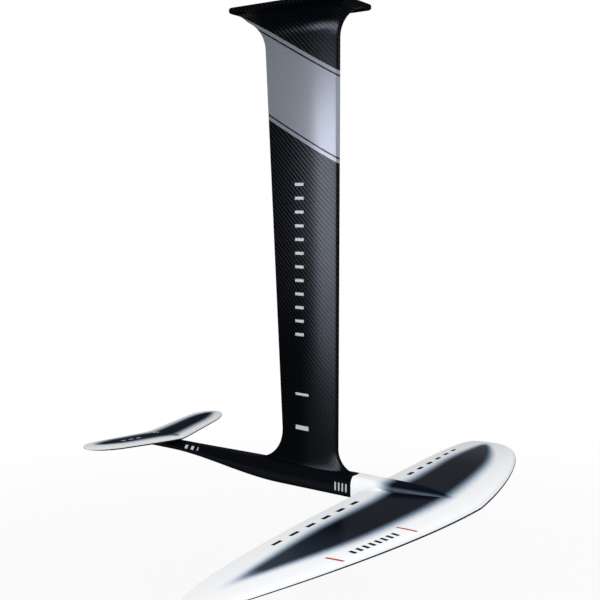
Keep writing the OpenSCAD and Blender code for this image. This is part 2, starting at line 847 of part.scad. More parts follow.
module tail_wing_core(sign) {
    color(foam)
        loft([for (y = tail_core_ys) let (e = y / tail_half)
            core_section(sign * y, tail_front(e), tail_back(e), tail_level(e), tail_share(e),
                tail_t, 0, tail_te_t, tail_skin)]);
}

module tail_wing_core_port() {
    tail_wing_core(1);
}

module tail_wing_core_starboard() {
    tail_wing_core(-1);
}

module tail_screw(i) {
    color(steel)
        from_above(tail_screw_x[i], tail_top(tail_screw_x[i]) - seat_gap)
            bolt(tail_top(tail_screw_x[i]) - seat_gap - deck_z + tail_insert_l - thread_short);
}

module tail_screw_front() {
    tail_screw(0);
}

module tail_screw_rear() {
    tail_screw(1);
}

module tail_washers() {
    color(steel)
        for (x = tail_screw_x)
            from_above(x, tail_top(x))
                cup_washer();
}

base_plate();
mast_skin_port();
mast_skin_starboard();
mast_core_front();
mast_core_rear();
mast_spar();
mast_inserts();
mast_bolt_front();
mast_bolt_middle();
mast_bolt_rear();
mast_washers();
fuselage();
tongue_inserts();
tail_inserts();
front_wing_neck();
front_wing_upper_skin();
front_wing_lower_skin();
front_wing_core_port();
front_wing_core_starboard();
front_wing_bolt_front();
front_wing_bolt_rear();
front_wing_washers();
tail_wing_upper_skin();
tail_wing_lower_skin();
tail_wing_core_port();
tail_wing_core_starboard();
tail_screw_front();
tail_screw_rear();
tail_washers();
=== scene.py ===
import math

import bmesh
import bpy
from mathutils import Matrix, Vector


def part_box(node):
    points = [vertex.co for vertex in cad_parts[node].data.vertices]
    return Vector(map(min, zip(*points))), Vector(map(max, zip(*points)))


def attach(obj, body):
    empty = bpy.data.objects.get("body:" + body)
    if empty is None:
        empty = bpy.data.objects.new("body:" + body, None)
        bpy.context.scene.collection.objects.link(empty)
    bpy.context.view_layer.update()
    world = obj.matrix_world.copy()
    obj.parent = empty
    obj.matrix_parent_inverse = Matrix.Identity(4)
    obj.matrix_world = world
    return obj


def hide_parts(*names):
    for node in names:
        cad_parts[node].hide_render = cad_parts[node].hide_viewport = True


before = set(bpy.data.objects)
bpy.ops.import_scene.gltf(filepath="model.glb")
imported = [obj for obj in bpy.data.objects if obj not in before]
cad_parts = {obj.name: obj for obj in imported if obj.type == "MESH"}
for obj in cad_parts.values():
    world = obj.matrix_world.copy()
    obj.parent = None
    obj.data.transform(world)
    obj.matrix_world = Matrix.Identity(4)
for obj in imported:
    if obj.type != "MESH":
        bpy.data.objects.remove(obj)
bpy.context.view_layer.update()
scene = bpy.context.scene
mm = 0.001
weldGap = 0.002 * mm


# shared curves, all lengths in metres

def clamp01(t):
    return min(1.0, max(0.0, t))


def easeStep(t):
    u = clamp01(t)
    return u * u * (3 - 2 * u)


def foilHalf(s):
    return 5 * (0.2969 * math.sqrt(s) - 0.1260 * s - 0.3516 * s ** 2 + 0.2843 * s ** 3 - 0.1036 * s ** 4)


def roundEnd(t):
    u = clamp01(t)
    return 1 - math.sqrt(1 - u * u)


def crowdEnds(t):
    return (1 - math.cos(math.pi * t)) / 2


# mesh helpers

def weld(bm):
    bmesh.ops.remove_doubles(bm, verts=bm.verts, dist=weldGap)
    bmesh.ops.recalc_face_normals(bm, faces=bm.faces)


# a grid wrapped round a form, place gives each spot's point and surface UV
def wrappedSheet(around, along, place):
    bm = bmesh.new()
    uvLayer = bm.loops.layers.uv.new("surface")
    bmesh.ops.create_grid(bm, x_segments=around, y_segments=along, size=0.5)
    spots = {v: place(v.co.x + 0.5, v.co.y + 0.5) for v in bm.verts}
    for face in bm.faces:
        for loop in face.loops:
            loop[uvLayer].uv = spots[loop.vert][1]
    for v, (point, uv) in spots.items():
        v.co = point
    bmesh.ops.remove_doubles(bm, verts=bm.verts, dist=weldGap)
    bmesh.ops.holes_fill(bm, edges=bm.edges, sides=0)
    bmesh.ops.recalc_face_normals(bm, faces=bm.faces)
    return bm


def pieceFrom(bm, name):
    mesh = bpy.data.meshes.new(name)
    bm.to_mesh(mesh)
    bm.free()
    piece = bpy.data.objects.new(name, mesh)
    scene.collection.objects.link(piece)
    return piece


def rodCutter(x, low, high, radius):
    bm = bmesh.new()
    bmesh.ops.create_cone(bm, cap_ends=True, segments=64, radius1=radius, radius2=radius, depth=high - low,
                          matrix=Matrix.Translation((x, 0, (low + high) / 2)))
    return pieceFrom(bm, "cutter")


def carve(piece, cutters):
    for cutter in cutters:
        cut = piece.modifiers.new("carve", "BOOLEAN")
        cut.operation = "DIFFERENCE"
        cut.solver = "EXACT"
        cut.object = cutter
    bpy.context.view_layer.update()
    solved = bpy.data.meshes.new_from_object(piece.evaluated_get(bpy.context.evaluated_depsgraph_get()))
    piece.modifiers.clear()
    piece.data = solved
    for cutter in cutters:
        bpy.data.objects.remove(cutter)


def finishPiece(piece, material, body, nodes, sharpDeg=38):
    bm = bmesh.new()
    bm.from_mesh(piece.data)
    for face in bm.faces:
        face.smooth = True
        face.material_index = 0
    for edge in bm.edges:
        edge.smooth = edge.calc_face_angle(0.0) < math.radians(sharpDeg)
    bm.to_mesh(piece.data)
    bm.free()
    piece.data.name = piece.name
    piece.data.materials.clear()
    piece.data.materials.append(material)
    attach(piece, body)
    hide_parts(*nodes)
    print("made", piece.name, len(piece.data.polygons), "faces")


# shader helpers

def newTree(name):
    material = bpy.data.materials.new(name)
    material.use_nodes = True
    tree = material.node_tree
    return material, tree, tree.nodes["Principled BSDF"]


def addNode(tree, kind, values=None, **settings):
    node = tree.nodes.new(kind)
    for key, value in settings.items():
        setattr(node, key, value)
    for key, value in (values or {}).items():
        node.inputs[key].default_value = value
    return node


def mathNode(tree, operation, a, b=None, c=None):
    node = addNode(tree, "ShaderNodeMath", operation=operation)
    for socket, value in zip(node.inputs, (a, b, c)):
        if value is None:
            continue
        if isinstance(value, (int, float)):
            socket.default_value = value
        else:
            tree.links.new(value, socket)
    return node.outputs[0]


def stepNode(tree, value, low, high):
    node = addNode(tree, "ShaderNodeMapRange", interpolation_type="SMOOTHSTEP")
    tree.links.new(value, node.inputs["Value"])
    for key, edge in (("From Min", low), ("From Max", high)):
        if isinstance(edge, (int, float)):
            node.inputs[key].default_value = edge
        else:
            tree.links.new(edge, node.inputs[key])
    return node.outputs["Result"]


def oneMinus(tree, value):
    return mathNode(tree, "SUBTRACT", 1.0, value)


# full outside the mask, less by the amount inside it
def lessened(tree, mask, amount):
    return mathNode(tree, "MULTIPLY_ADD", mask, -amount, 1.0)


def mixColour(tree, factor, a, b):
    node = addNode(tree, "ShaderNodeMix", data_type="RGBA")
    tree.links.new(factor, node.inputs["Factor"])
    for key, value in (("A", a), ("B", b)):
        socket = [s for s in node.inputs if s.name == key and s.type == "RGBA"][0]
        if isinstance(value, tuple):
            socket.default_value = (*value, 1)
        else:
            tree.links.new(value, socket)
    return [s for s in node.outputs if s.type == "RGBA"][0]


def noiseAt(tree, coords, scale, detail):
    noise = addNode(tree, "ShaderNodeTexNoise", {"Scale": scale, "Detail": detail})
    tree.links.new(coords, noise.inputs["Vector"])
    return noise.outputs["Fac"]


def bumpNormal(tree, shader, height, strength, distance):
    bump = addNode(tree, "ShaderNodeBump", {"Strength": strength, "Distance": distance})
    tree.links.new(height, bump.inputs["Height"])
    tree.links.new(bump.outputs["Normal"], shader.inputs["Normal"])


def objectCoords(tree):
    return addNode(tree, "ShaderNodeTexCoord").outputs["Object"]


def swizzled(tree, vector, order):
    parts = addNode(tree, "ShaderNodeSeparateXYZ")
    tree.links.new(vector, parts.inputs[0])
    made = addNode(tree, "ShaderNodeCombineXYZ")
    for target, source in zip("XYZ", order):
        tree.links.new(parts.outputs[source], made.inputs[target])
    return made.outputs[0]


def newGroup(name, inputs, outputs):
    group = bpy.data.node_groups.new(name, "ShaderNodeTree")
    for label, kind, value in inputs:
        socket = group.interface.new_socket(label, in_out="INPUT", socket_type=kind)
        if value is not None:
            socket.default_value = value
    for label, kind in outputs:
        group.interface.new_socket(label, in_out="OUTPUT", socket_type=kind)
    return group, group.nodes.new("NodeGroupInput").outputs, group.nodes.new("NodeGroupOutput").inputs


def placeGroup(tree, group, links, values=None):
    node = tree.nodes.new("ShaderNodeGroup")
    node.node_tree = group
    for key, socket in links.items():
        tree.links.new(socket, node.inputs[key])
    for key, value in (values or {}).items():
        node.inputs[key].default_value = value
    return node.outputs


floatKind, vectorKind = "NodeSocketFloat", "NodeSocketVector"


# twill cloth: tows cross at right angles, two over and two under
def buildTwill():
    group, got, put = newGroup("twillWeave", [("Vector", vectorKind, None), ("Tow", floatKind, 0.002)],
                               [("Height", floatKind), ("Tone", floatKind)])
    parts = addNode(group, "ShaderNodeSeparateXYZ")
    group.links.new(got["Vector"], parts.inputs[0])
    across = [mathNode(group, "DIVIDE", parts.outputs[k], got["Tow"]) for k in "XY"]
    cells = [mathNode(group, "FLOOR", a) for a in across]
    shift = mathNode(group, "ADD", cells[0], cells[1])
    turn = mathNode(group, "FLOORED_MODULO", shift, 4.0)
    over = mathNode(group, "LESS_THAN", turn, 1.5)
    crowns = []
    for a in across:
        off = mathNode(group, "SUBTRACT", mathNode(group, "FRACT", a), 0.5)
        crowns.append(mathNode(group, "MULTIPLY_ADD", mathNode(group, "MULTIPLY", off, off), -4.0, 1.0))
    warp = mathNode(group, "MULTIPLY", crowns[0], over)
    weft = mathNode(group, "MULTIPLY", crowns[1], oneMinus(group, over))
    group.links.new(mathNode(group, "ADD", warp, weft), put["Height"])
    fibres = noiseAt(group, got["Vector"], 260.0, 2.0)
    tone = mathNode(group, "MULTIPLY_ADD", fibres, 0.4, -0.2)
    group.links.new(mathNode(group, "ADD", tone, over), put["Tone"])
    return group


# lacquer: faint orange peel and rubbed patches
def buildLacquer():
    group, got, put = newGroup("lacquerWear", [("Vector", vectorKind, None), ("Peel", floatKind, 260.0)],
                               [("Height", floatKind), ("Rub", floatKind)])
    peel = addNode(group, "ShaderNodeTexNoise", {"Detail": 3.0})
    group.links.new(got["Vector"], peel.inputs["Vector"])
    group.links.new(got["Peel"], peel.inputs["Scale"])
    group.links.new(peel.outputs["Fac"], put["Height"])
    patches = addNode(group, "ShaderNodeTexNoise", {"Scale": 14.0, "Detail": 6.0, "Roughness": 0.65})
    group.links.new(got["Vector"], patches.inputs["Vector"])
    group.links.new(stepNode(group, patches.outputs["Fac"], 0.42, 0.75), put["Rub"])
    return group


# dark fade sprayed along the middle of a wing, over chord and span
def buildFade():
    wanted = [("Chord", floatKind, None), ("Span", floatKind, None), ("Front", floatKind, 0.285),
              ("Back", floatKind, 0.786), ("Soft", floatKind, 0.085), ("Narrow", floatKind, 0.4),
              ("Stop", floatKind, 0.86), ("Mist", floatKind, 0.0), ("Lean", floatKind, 0.0),
              ("Root", floatKind, 0.02), ("Skew", floatKind, 0.0), ("Thin", floatKind, 0.055)]
    group, got, put = newGroup("sprayFade", wanted, [("Dark", floatKind)])
    reach = mathNode(group, "ABSOLUTE", mathNode(group, "SUBTRACT", got["Span"], got["Lean"]))
    length = mathNode(group, "SUBTRACT", got["Stop"], got["Narrow"])
    t = mathNode(group, "DIVIDE", mathNode(group, "SUBTRACT", reach, got["Narrow"]), length)
    t = mathNode(group, "MAXIMUM", mathNode(group, "MINIMUM", t, 1.0), 0.0)  # how far along the taper
    # one half can be sprayed nearer its trailing edge
    side = mathNode(group, "SUBTRACT", stepNode(group, got["Span"], -0.2, 0.0), 1.0)
    chord = mathNode(group, "MULTIPLY_ADD", side, got["Skew"],
                     mathNode(group, "ADD", got["Chord"], got["Mist"]))
    front = mathNode(group, "MULTIPLY_ADD", mathNode(group, "POWER", t, 2.0), 0.25, got["Front"])
    back = mathNode(group, "MULTIPLY_ADD", mathNode(group, "POWER", t, 1.6), -0.2, got["Back"])
    # the spray widens toward the trailing edge beside the neck
    root = oneMinus(group, stepNode(group, reach, 0.03, 0.16))
    back = mathNode(group, "MULTIPLY_ADD", root, got["Root"], back)
    rise, fall = (stepNode(group, chord, mathNode(group, "SUBTRACT", line, got["Soft"]),
                           mathNode(group, "ADD", line, got["Soft"])) for line in (front, back))
    end = stepNode(group, reach, mathNode(group, "SUBTRACT", got["Stop"], 0.12),
                   mathNode(group, "ADD", got["Stop"], 0.04))
    dark = mathNode(group, "MULTIPLY", rise, oneMinus(group, fall))
    thin = oneMinus(group, mathNode(group, "MULTIPLY", t, got["Thin"]))
    dark = mathNode(group, "MULTIPLY", dark, thin)
    group.links.new(mathNode(group, "MULTIPLY", dark, oneMinus(group, end)), put["Dark"])
    return group


twillGroup, lacquerGroup, fadeGroup = buildTwill(), buildLacquer(), buildFade()
print("shader groups ready")


# plain marks on the paint, each a mask over chord fraction and object coordinates

inkEdge = 0.0006
markInk = {"black": (0.012, 0.012, 0.014), "red": (0.42, 0.012, 0.02), "pale": (0.46, 0.48, 0.52)}


def bandMask(tree, value, low, high, soft):
    inside = stepNode(tree, value, low - soft, low + soft)
    outside = stepNode(tree, value, high - soft, high + soft)
    return mathNode(tree, "SUBTRACT", inside, outside)


def product(tree, *masks):
    result = masks[0]
    for mask in masks[1:]:
        result = mathNode(tree, "MULTIPLY", result, mask)
    return result


def axisOf(tree, coords, axis):
    parts = addNode(tree, "ShaderNodeSeparateXYZ")
    tree.links.new(coords, parts.inputs[0])
    return parts.outputs[axis]


# a row of dashes: reach of the row, pitch, and where each dash begins and ends
def dashes(tree, along, row, pitch, dash):
    turn = mathNode(tree, "FRACT", mathNode(tree, "DIVIDE", along, pitch))
    step = mathNode(tree, "MULTIPLY", turn, pitch)
    return product(tree, bandMask(tree, step, *dash, inkEdge), bandMask(tree, along, *row, inkEdge))


def trailingDashes(tree, chord, coords):
    reach = mathNode(tree, "ABSOLUTE", axisOf(tree, coords, "Y"))
    row = dashes(tree, reach, (0.075, 0.290), 0.036, (0.007, 0.025))
    return product(tree, row, bandMask(tree, chord, 0.855, 0.897, 0.004))


def leadingBars(tree, chord, coords):
    row = dashes(tree, axisOf(tree, coords, "Y"), (-0.253, -0.165), 0.011, (0.003, 0.0085))
    return product(tree, row, bandMask(tree, chord, 0.115, 0.185, 0.004))


def redSlashes(tree, chord, coords):
    lean = mathNode(tree, "MULTIPLY_ADD", chord, 0.035, axisOf(tree, coords, "Y"))
    pair = [bandMask(tree, lean, spot, spot + 0.004, inkEdge) for spot in (-0.2725, -0.1425)]
    return product(tree, mathNode(tree, "ADD", *pair), bandMask(tree, chord, 0.07, 0.235, 0.004))


def tailDashes(tree, chord, coords):
    row = dashes(tree, axisOf(tree, coords, "Y"), (-0.098, -0.052), 0.016, (0.002, 0.011))
    return product(tree, row, bandMask(tree, chord, 0.50, 0.56, 0.01))


wingMarks = [(trailingDashes, "black"), (leadingBars, "black"), (redSlashes, "red")]
tailMarks = [(tailDashes, "pale")]


# finishes

carbonFinish = {"tow": 0.002, "dark": (0.0006, 0.0008, 0.0012), "light": (0.0024, 0.0032, 0.0046),
                "toneRough": 0.12, "rubRough": 0.04, "noseX": (-0.02, 0.07), "bump": (0.12, 0.00008)}


def setShader(shader, **values):
    names = {"rough": "Roughness", "metal": "Metallic", "coat": "Coat Weight", "coatRough": "Coat Roughness",
             "specular": "Specular IOR Level"}
    for key, value in values.items():
        shader.inputs[names[key]].default_value = value


def twillAt(tree, coords, order):
    return placeGroup(tree, twillGroup, {"Vector": swizzled(tree, coords, order)}, {"Tow": carbonFinish["tow"]})


def carbonMaterial(name, order, rough, coat, swing):
    material, tree, shader = newTree(name)
    coords = objectCoords(tree)
    weave = twillAt(tree, coords, order)
    wear = placeGroup(tree, lacquerGroup, {"Vector": coords})
    colour = mixColour(tree, weave["Tone"], carbonFinish["dark"], carbonFinish["light"])
    tree.links.new(colour, shader.inputs["Base Color"])
    vary = carbonFinish["toneRough"]
    roughness = mathNode(tree, "MULTIPLY_ADD", weave["Tone"], -vary, rough + vary / 2)
    roughness = mathNode(tree, "MULTIPLY_ADD", wear["Rub"], carbonFinish["rubRough"], roughness)
    tree.links.new(roughness, shader.inputs["Roughness"])
    # tows shine in turn, less so toward a polished nose
    body, nose = (coat * share for share in swing)
    forward = stepNode(tree, axisOf(tree, coords, "X"), *carbonFinish["noseX"])
    depth = mathNode(tree, "MULTIPLY_ADD", forward, nose - body, body)
    turns = mathNode(tree, "MULTIPLY_ADD", weave["Tone"], 2.0, -1.0)
    weight = mathNode(tree, "MAXIMUM", mathNode(tree, "MULTIPLY_ADD", depth, turns, coat), 0.0)
    tree.links.new(weight, shader.inputs["Coat Weight"])
    bumpNormal(tree, shader, weave["Height"], *carbonFinish["bump"])
    setShader(shader, coatRough=rough, specular=0.0)
    return material, tree, shader, colour


# plain print on the mast: a slanted silver sash with pinstripes, a row of ticks and two bars
mastPrint = {"soft": 0.0004, "lean": 0.55, "sash": (-0.200, -0.062), "pin": 0.006, "pinWide": 0.0028,
             "tickZ": (-0.520, -0.262), "tickPitch": 0.0215, "tickDash": (0.006, 0.0105),
             "tickX": (-0.004, 0.013), "barX": (-0.004, 0.022), "bars": ((-0.606, -0.602), (-0.662, -0.655)),
             "silver": (0.165, 0.18, 0.21), "grain": 420.0, "shade": 0.86, "sheen": 0.18,
             "flatted": 0.85, "flatX": (0.035, 0.0), "flatZ": (-0.37, -0.56),
             "footSatin": 0.5, "footZ": (-0.680, -0.720),
             "headSatin": 0.85, "headZ": (-0.042, -0.020), "headX": (-0.068, 0.072, 0.012)}


def printMast(tree, shader, colour):
    coords = objectCoords(tree)
    x, z = axisOf(tree, coords, "X"), axisOf(tree, coords, "Z")
    soft = mastPrint["soft"]
    lean = mathNode(tree, "MULTIPLY_ADD", x, mastPrint["lean"], z)
    low, high = mastPrint["sash"]
    pin, wide = mastPrint["pin"], mastPrint["pinWide"]
    sash = bandMask(tree, lean, low, high, soft)
    for edge in (low + pin, high - pin - wide):
        sash = mathNode(tree, "SUBTRACT", sash, bandMask(tree, lean, edge, edge + wide, soft))
    row = dashes(tree, z, mastPrint["tickZ"], mastPrint["tickPitch"], mastPrint["tickDash"])
    white = product(tree, row, bandMask(tree, x, *mastPrint["tickX"], soft))
    for low, high in mastPrint["bars"]:
        bar = product(tree, bandMask(tree, z, low, high, soft), bandMask(tree, x, *mastPrint["barX"], soft))
        white = mathNode(tree, "MAXIMUM", white, bar)
    grain = noiseAt(tree, coords, mastPrint["grain"], 3.0)
    shaded = tuple(mastPrint["shade"] * c for c in mastPrint["silver"])
    silver = mixColour(tree, grain, shaded, mastPrint["silver"])
    colour = mixColour(tree, sash, colour, silver)
    tree.links.new(mixColour(tree, white, colour, markInk["pale"]), shader.inputs["Base Color"])
    coat = shader.inputs["Coat Weight"]
    # the lacquer is flatted low on the rear half
    flat = product(tree, stepNode(tree, x, *mastPrint["flatX"]), stepNode(tree, z, *mastPrint["flatZ"]))
    weave = mathNode(tree, "MULTIPLY", coat.links[0].from_socket, lessened(tree, flat, mastPrint["flatted"]))
    inked = mathNode(tree, "MAXIMUM", sash, white)
    gloss = mathNode(tree, "MULTIPLY_ADD", inked, mathNode(tree, "SUBTRACT", mastPrint["sheen"], weave), weave)
    # both flares are duller, all but the front and rear end of the upper one
    foot = lessened(tree, stepNode(tree, z, *mastPrint["footZ"]), mastPrint["footSatin"])
    head = product(tree, stepNode(tree, z, *mastPrint["headZ"]), bandMask(tree, x, *mastPrint["headX"]))
    tree.links.new(product(tree, gloss, foot, lessened(tree, head, mastPrint["headSatin"])), coat)


# pale bars on the fuselage's flanks, by the wing and by the tail: row, pitch, dash, height
barrelMarks = [((0.0765, 0.1015), 0.0065, (0.0, 0.0025), (-0.745, -0.732)),
               ((-0.242, -0.206), 0.014, (0.002, 0.008), (-0.728, -0.7225))]


lacquerFinish = {"dark": (0.0013, 0.0018, 0.0027), "light": (0.0019, 0.0026, 0.0038), "peel": 180.0,
                 "rough": (0.10, 0.16), "coat": (-0.010, 0.032), "coatRough": 0.14, "bump": (0.12, 0.0002)}


# black lacquer over cloth that barely shows, its gloss a little rubbed
def blackLacquer():
    material, tree, shader = newTree("glossBlackLacquer")
    coords = objectCoords(tree)
    weave = twillAt(tree, coords, "XZY")
    wear = placeGroup(tree, lacquerGroup, {"Vector": coords}, {"Peel": lacquerFinish["peel"]})
    colour = mixColour(tree, weave["Tone"], lacquerFinish["dark"], lacquerFinish["light"])
    for row, pitch, dash, height in barrelMarks:
        bars = product(tree, dashes(tree, axisOf(tree, coords, "X"), row, pitch, dash),
                       bandMask(tree, axisOf(tree, coords, "Z"), *height, inkEdge))
        colour = mixColour(tree, bars, colour, markInk["pale"])
    tree.links.new(colour, shader.inputs["Base Color"])
    for key, socket in (("rough", "Roughness"), ("coat", "Coat Weight")):
        tree.links.new(mathNode(tree, "MULTIPLY_ADD", wear["Rub"], *lacquerFinish[key]), shader.inputs[socket])
    bumpNormal(tree, shader, wear["Height"], *lacquerFinish["bump"])
    setShader(shader, coatRough=lacquerFinish["coatRough"], specular=0.0)
    return material


sprayInk = {"white": (0.80, 0.815, 0.83), "mist": (0.45, 0.515, 0.60), "blue": (0.155, 0.20, 0.26),
            "black": (0.002, 0.0045, 0.0100)}


def sprayColour(tree, dark):
    ramp = addNode(tree, "ShaderNodeValToRGB")
    points = ramp.color_ramp.elements
    points[0].color = (*sprayInk["white"], 1)
    points[1].color = (*sprayInk["black"], 1)
    for spot, ink in ((0.38, "mist"), (0.72, "blue")):
        points.new(spot).color = (*sprayInk[ink], 1)
    tree.links.new(dark, ramp.inputs["Fac"])
    return ramp.outputs["Color"]


def chordAndSpan(tree):
    uv = addNode(tree, "ShaderNodeUVMap", uv_map="surface")
    parts = addNode(tree, "ShaderNodeSeparateXYZ")
    tree.links.new(uv.outputs["UV"], parts.inputs[0])
    return parts.outputs["X"], mathNode(tree, "MULTIPLY_ADD", parts.outputs["Y"], 2.0, -1.0)


sprayFinish = {"mist": 700.0, "rough": (0.08, 0.22), "bump": (0.05, 0.0002), "edgeShade": 0.25, "edgeShadeOver": 0.05,
               "lipSoft": 0.0015, "shiver": 0.05, "coatRough": 0.20}


# fine grain that breaks up the edge of a spray
def sprayGrain(tree, coords, swing):
    return mathNode(tree, "MULTIPLY_ADD", noiseAt(tree, coords, sprayFinish["mist"], 2.0), swing, -swing / 2)


def sprayGloss(tree, shader, coords, coat, coatRough):
    wear = placeGroup(tree, lacquerGroup, {"Vector": coords})
    rough = mathNode(tree, "MULTIPLY_ADD", wear["Rub"], *sprayFinish["rough"])
    tree.links.new(rough, shader.inputs["Roughness"])
    bumpNormal(tree, shader, wear["Height"], *sprayFinish["bump"])
    setShader(shader, coat=coat, coatRough=coatRough, specular=0.0)


def sprayedWhite(name, fade, lip, coat, marks):
    material, tree, shader = newTree(name)
    coords = objectCoords(tree)
    chord, span = chordAndSpan(tree)
    shiver = sprayGrain(tree, coords, sprayFinish["shiver"])
    dark = placeGroup(tree, fadeGroup, {"Chord": chord, "Span": span, "Mist": shiver}, fade)["Dark"]
    colour = sprayColour(tree, dark)
    # black lip on the leading edge, with painted shade behind it where the edge turns under
    edgeShade, soft = sprayFinish["edgeShade"], sprayFinish["lipSoft"]
    behind = stepNode(tree, chord, lip, lip + sprayFinish["edgeShadeOver"])
    colour = mixColour(tree, mathNode(tree, "MULTIPLY_ADD", behind, -edgeShade, edgeShade), colour, sprayInk["blue"])
    edge = stepNode(tree, chord, lip - soft, lip + soft)
    colour = mixColour(tree, edge, sprayInk["black"], colour)
    for mark, ink in marks:
        colour = mixColour(tree, mark(tree, chord, coords), colour, markInk[ink])
    tree.links.new(colour, shader.inputs["Base Color"])
    sprayGloss(tree, shader, coords, coat, sprayFinish["coatRough"])
    return material


metalFinish = {"rings": 300.0, "grain": 600.0, "shade": 0.72, "roughSwing": 0.2, "bump": (0.15, 0.00005)}


def metalMaterial(name, colour, rough):
    material, tree, shader = newTree(name)
    coords = objectCoords(tree)
    rings = {"Scale": metalFinish["rings"], "Distortion": 1.5, "Detail": 2.0}
    turned = addNode(tree, "ShaderNodeTexWave", rings, wave_type="RINGS", rings_direction="Z")
    tree.links.new(coords, turned.inputs["Vector"])
    grain = noiseAt(tree, coords, metalFinish["grain"], 3.0)
    shade = tuple(metalFinish["shade"] * c for c in colour)
    tree.links.new(mixColour(tree, grain, shade, colour), shader.inputs["Base Color"])
    swing = metalFinish["roughSwing"]
    tree.links.new(mathNode(tree, "MULTIPLY_ADD", grain, swing, rough - swing / 2), shader.inputs["Roughness"])
    bumpNormal(tree, shader, turned.outputs["Fac"], *metalFinish["bump"])
    setShader(shader, metal=1.0)
    return material


def foamMaterial():
    material, tree, shader = newTree("closedCellFoam")
    coords = objectCoords(tree)
    cells = addNode(tree, "ShaderNodeTexVoronoi", {"Scale": 900.0}, feature="F1")
    tree.links.new(coords, cells.inputs["Vector"])
    tree.links.new(mixColour(tree, cells.outputs["Distance"], (0.62, 0.55, 0.36), (0.80, 0.74, 0.55)),
                   shader.inputs["Base Color"])
    bumpNormal(tree, shader, cells.outputs["Distance"], 0.4, 0.0003)
    setShader(shader, rough=0.85)
    return material


mastCarbon, mastTree, mastShader, mastColour = carbonMaterial("mastTwill", "XZY", 0.22, 0.0515, (0.95, 0.12))
printMast(mastTree, mastShader, mastColour)
plateCarbon = carbonMaterial("plateTwill", "XYZ", 0.35, 0.025, (0.4, 0.4))[0]
undersideCarbon = carbonMaterial("undersideTwill", "XYZ", 0.16, 0.16, (0.4, 0.4))[0]
fuselageBlack = blackLacquer()
wingPaint = sprayedWhite("wingSpray", {}, 0.006, 0.07, wingMarks)
tailFade = {"Front": 0.225, "Back": 0.84, "Soft": 0.14, "Narrow": 0.55, "Stop": 0.92, "Lean": 0.04,
            "Root": 0.0, "Skew": 0.055, "Thin": 0.0}
tailPaint = sprayedWhite("tailSpray", tailFade, 0.008, 0.03, tailMarks)
steel = metalMaterial("stainlessSteel", (0.24, 0.25, 0.265), 0.32)
brass = metalMaterial("turnedBrass", (0.72, 0.55, 0.27), 0.34)
foam = foamMaterial()
print("finishes ready")


# mast: two half skins, port and starboard

mast = {"length": 720 * mm, "plateThick": 7.5 * mm, "frontX": 74 * mm, "chordTop": 141 * mm,
        "chordFoot": 104 * mm, "thickTop": 18 * mm, "thickFoot": 14 * mm, "edgeThick": 1.6 * mm, "wall": 2 * mm,
        "bond": 0.15 * mm, "footPower": 2, "headPower": 3,
        "headFront": (46 * mm, 46 * mm), "headBack": (58 * mm, 52 * mm), "headSide": (29 * mm, 34 * mm),
        "footFront": (35 * mm, 35 * mm), "footBack": (56 * mm, 56 * mm), "footSide": (2.8 * mm, 30 * mm),
        "rim": 98 * mm, "around": 44, "flareSteps": 26, "bladeSteps": 40}
mastRise = mast["length"] - mast["plateThick"]
mastSteps = 2 * mast["flareSteps"] + mast["bladeSteps"]
deckZ = -mast["length"]


def flareAt(h, size):
    reach, rise = size
    return reach * roundEnd((rise - h) / rise)


def mastSection(h):
    share = h / mastRise
    chord = mast["chordFoot"] + (mast["chordTop"] - mast["chordFoot"]) * share
    thick = mast["thickFoot"] + (mast["thickTop"] - mast["thickFoot"]) * share
    top = mastRise - h
    front = mast["frontX"] + flareAt(h, mast["footFront"]) + flareAt(top, mast["headFront"])
    back = mast["frontX"] - chord - flareAt(h, mast["footBack"]) - flareAt(top, mast["headBack"])
    return chord, thick, front, back, flareAt(h, mast["footSide"]), flareAt(top, mast["headSide"])


def roundedAlong(s, power):
    return max(0.0, 1 - abs(2 * s - 1) ** power) ** (1 / power)


def mastHeight(w):
    k, n = w * mastSteps, mast["flareSteps"]
    foot, head = mast["footBack"][1], mast["headBack"][1]
    if k <= n:
        return foot * (1 - math.cos(math.pi / 2 * k / n))
    if k >= mastSteps - n:
        return mastRise - head * (1 - math.cos(math.pi / 2 * (mastSteps - k) / n))
    return foot + (mastRise - foot - head) * (k - n) / mast["bladeSteps"]


def mastHalf(side, name, node):
    def place(u, w):
        h = mastHeight(w)
        chord, thick, front, back, foot, head = mastSection(h)
        land = mast["bond"] / 2
        if u <= 0.5:
            s = crowdEnds(2 * u)
            half = thick * foilHalf(s) + mast["edgeThick"] / 2 * s
            half += foot * roundedAlong(s, mast["footPower"]) + head * roundedAlong(s, mast["headPower"])
            x, y = front - (front - back) * s, land + half
        else:
            s = crowdEnds(2 - 2 * u)
            x = front - (front - back) * s
            blade = clamp01((mast["frontX"] - x) / chord)
            y = max(land, thick * foilHalf(blade) + mast["edgeThick"] / 2 * blade - mast["wall"])
            y = y if 0 < blade < 1 else land
        if h > mastRise / 2:
            x = max(-mast["rim"], min(mast["rim"], x))
        return Vector((x, side * y, deckZ + h)), (s, w)

    bm = wrappedSheet(2 * mast["around"], mastSteps, place)
    piece = pieceFrom(bm, name)
    finishPiece(piece, mastCarbon, "foil", [node])
    return piece


mastShells = [mastHalf(1, "mastShellPort", "mast_skin_port"),
              mastHalf(-1, "mastShellStarboard", "mast_skin_starboard")]


# fuselage and neck share one barrel section

barrel = {"front": 35 * mm, "frontDeep": 33.5 * mm, "tail": 24 * mm, "tailDeep": 15 * mm,
          "shoulder": (6.5 * mm, 8.5 * mm), "belly": 5 * mm, "chamfer": 1.7, "cornerSteps": 9}
fuselageRun = {"seam": 107 * mm, "footBack": -30 * mm, "bellyEnd": -270 * mm, "end": -331 * mm, "steps": 120}
barrelCount = 4 * (barrel["cornerSteps"] + 1)
bellyZ = deckZ - barrel["frontDeep"]


